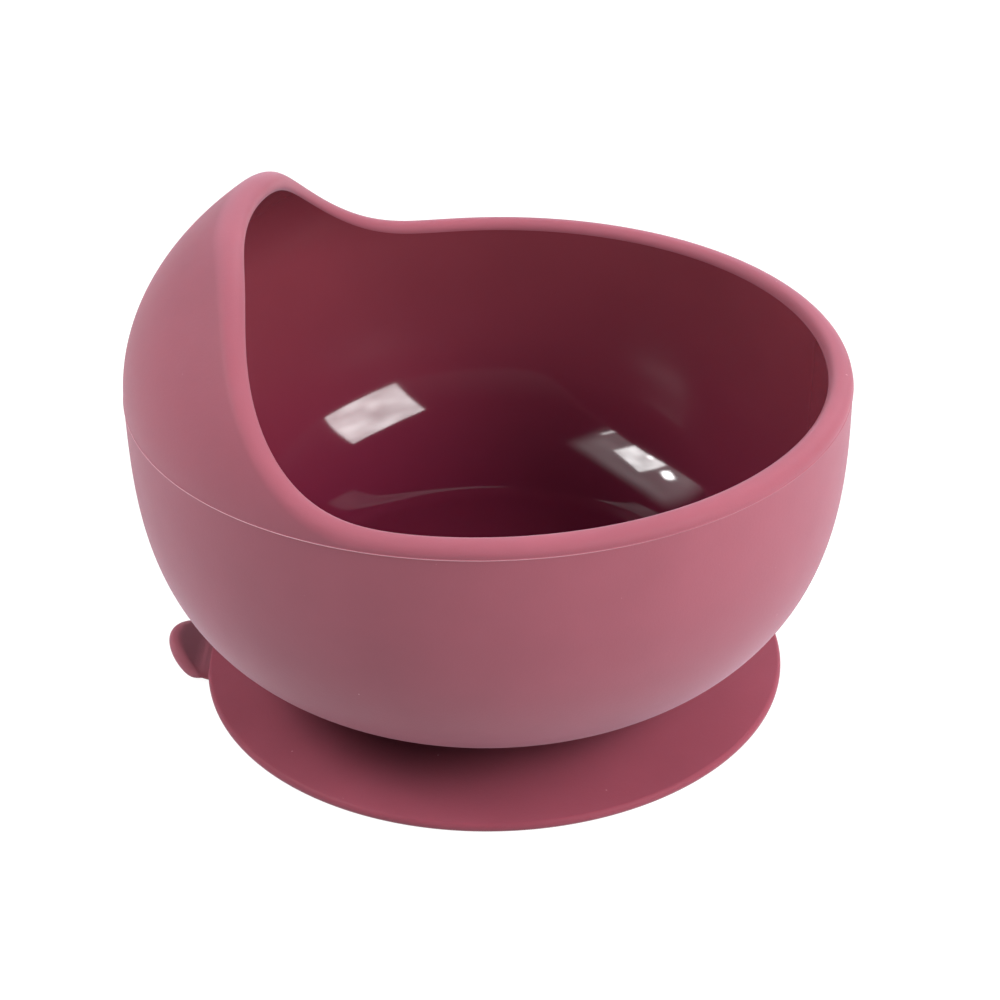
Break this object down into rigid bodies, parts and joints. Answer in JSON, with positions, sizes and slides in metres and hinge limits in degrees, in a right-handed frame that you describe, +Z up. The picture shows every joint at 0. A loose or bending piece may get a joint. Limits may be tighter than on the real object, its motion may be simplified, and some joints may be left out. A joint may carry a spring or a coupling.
{
  "type": "suction bowl",
  "caption": "Silicone feeding bowl with a high curled back, on a flexible suction base with an upturned release tab.",
  "frame": {"origin": "centre of the suction base on the surface it stands on", "axes": "+Z up, high back and release tab at -X, low lip at +X, XZ is the mirror plane"},
  "size_m": [0.118, 0.118, 0.084],
  "materials": {
    "bowl_silicone": "dusty rose silicone, fine matte outside, polished inside",
    "base_silicone": "dusty rose silicone, fine matte",
    "silicone_adhesive": "clear cured silicone adhesive"
  },
  "bodies": {
    "skirt": {"suction_skirt": "base_silicone"},
    "bowl": {"bowl_shell": "bowl_silicone", "bond_disc": "silicone_adhesive", "base_hub": "base_silicone"},
    "tab": {"release_tab": "base_silicone"}
  },
  "joints": [
    {"name": "press_down", "type": "slide", "parent": "skirt", "child": "bowl", "axis": [0, 0, -1], "range_m": [0, 0.003], "stiffness_N_per_m": 8000, "springref_m": -0.0005},
    {"name": "tab_lift", "type": "hinge", "parent": "skirt", "child": "tab", "pos_m": [-0.05015, 0, 0.00115], "axis": [0, 1, 0], "range_deg": [-20, 70], "stiffness_Nm_per_rad": 0.03}
  ]
}
